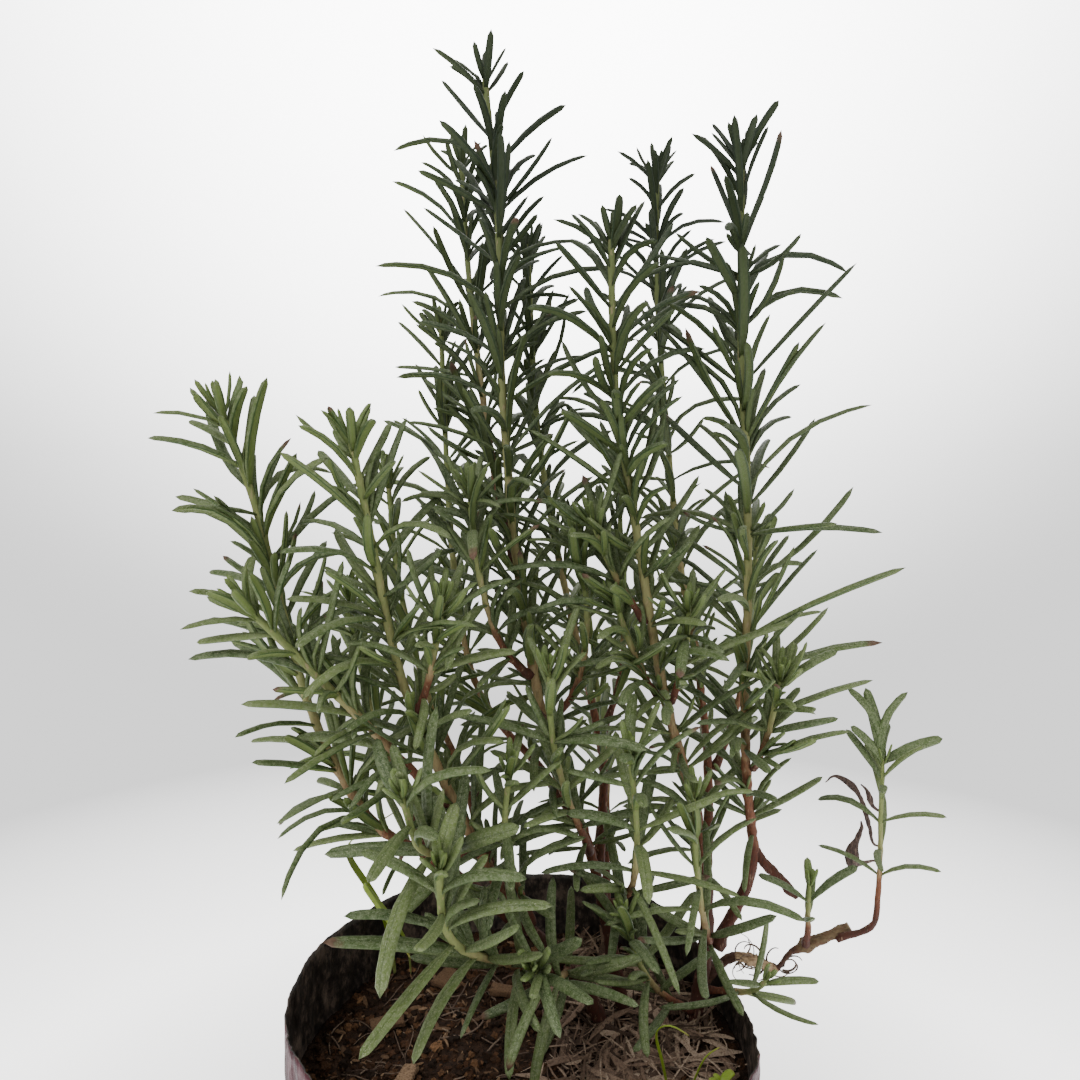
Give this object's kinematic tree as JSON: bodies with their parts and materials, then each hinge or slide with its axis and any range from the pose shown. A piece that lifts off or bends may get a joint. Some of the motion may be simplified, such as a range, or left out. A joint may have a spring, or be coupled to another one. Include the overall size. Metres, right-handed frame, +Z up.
{
  "type": "potted rosemary plant",
  "caption": "Bushy young rosemary plant with upright leafy shoots and a creeping side branch, growing in soil in a soft round nursery bag.",
  "frame": {"origin": "centre of the bag's flat underside", "axes": "+Z up, -Y towards the viewer at the front, +X to the right, where the creeping branch hangs out"},
  "size_m": [0.2366, 0.1669, 0.4395],
  "materials": {
    "film": "thin black plastic film, slightly glossy and dusty inside, maroon pink outside",
    "soil": "dark brown crumbly potting mix of bark and coir, matte",
    "foliage": "leathery needle leaf, dark green with fine pale speckles, satin",
    "bark": "young bark, reddish brown with pale streaks, matte",
    "chip": "split wood, matte",
    "straw": "dry grey brown shredded straw, matte",
    "grass": "fresh lime green grass blade, satin"
  },
  "bodies": {
    "root": {"branch_creeping": "bark", "grass_left": "grass", "grass_left_low": "grass", "grass_right": "grass", "grass_right_low": "grass", "grow_bag": "film", "seedling": "grass", "shoot_back_far": "foliage", "shoot_back_left": "foliage", "shoot_back_low": "foliage", "shoot_back_mid": "foliage", "shoot_back_right": "foliage", "shoot_centre_back": "foliage", "shoot_droop": "bark", "shoot_far_left": "foliage", "shoot_foot_left": "foliage", "shoot_foot_right": "foliage", "shoot_front_hang": "foliage", "shoot_front_low": "foliage", "shoot_front_mid": "foliage", "shoot_front_small": "foliage", "shoot_inner_left": "foliage", "shoot_inner_right": "foliage", "shoot_left": "foliage", "shoot_left_back": "foliage", "shoot_left_low": "foliage", "shoot_left_mid": "foliage", "shoot_left_upper": "foliage", "shoot_low_centre": "foliage", "shoot_low_mid": "foliage", "shoot_low_right": "foliage", "shoot_mid_left": "foliage", "shoot_mid_low": "foliage", "shoot_mid_right": "foliage", "shoot_right": "foliage", "shoot_right_back": "foliage", "shoot_right_side": "foliage", "shoot_right_tall": "foliage", "shoot_tall": "foliage", "soil": "soil", "sprig_creeping": "foliage", "straw_1": "straw", "straw_2": "straw", "straw_3": "straw", "straw_4": "straw", "straw_5": "straw", "straw_6": "straw", "straw_7": "straw", "twig_creeping": "foliage", "wood_chip_1": "chip", "wood_chip_2": "chip", "wood_chip_3": "chip", "wood_chip_4": "chip", "wood_chip_5": "chip", "wood_chip_6": "chip", "wood_chip_7": "chip", "wood_chip_8": "chip"}
  },
  "joints": []
}
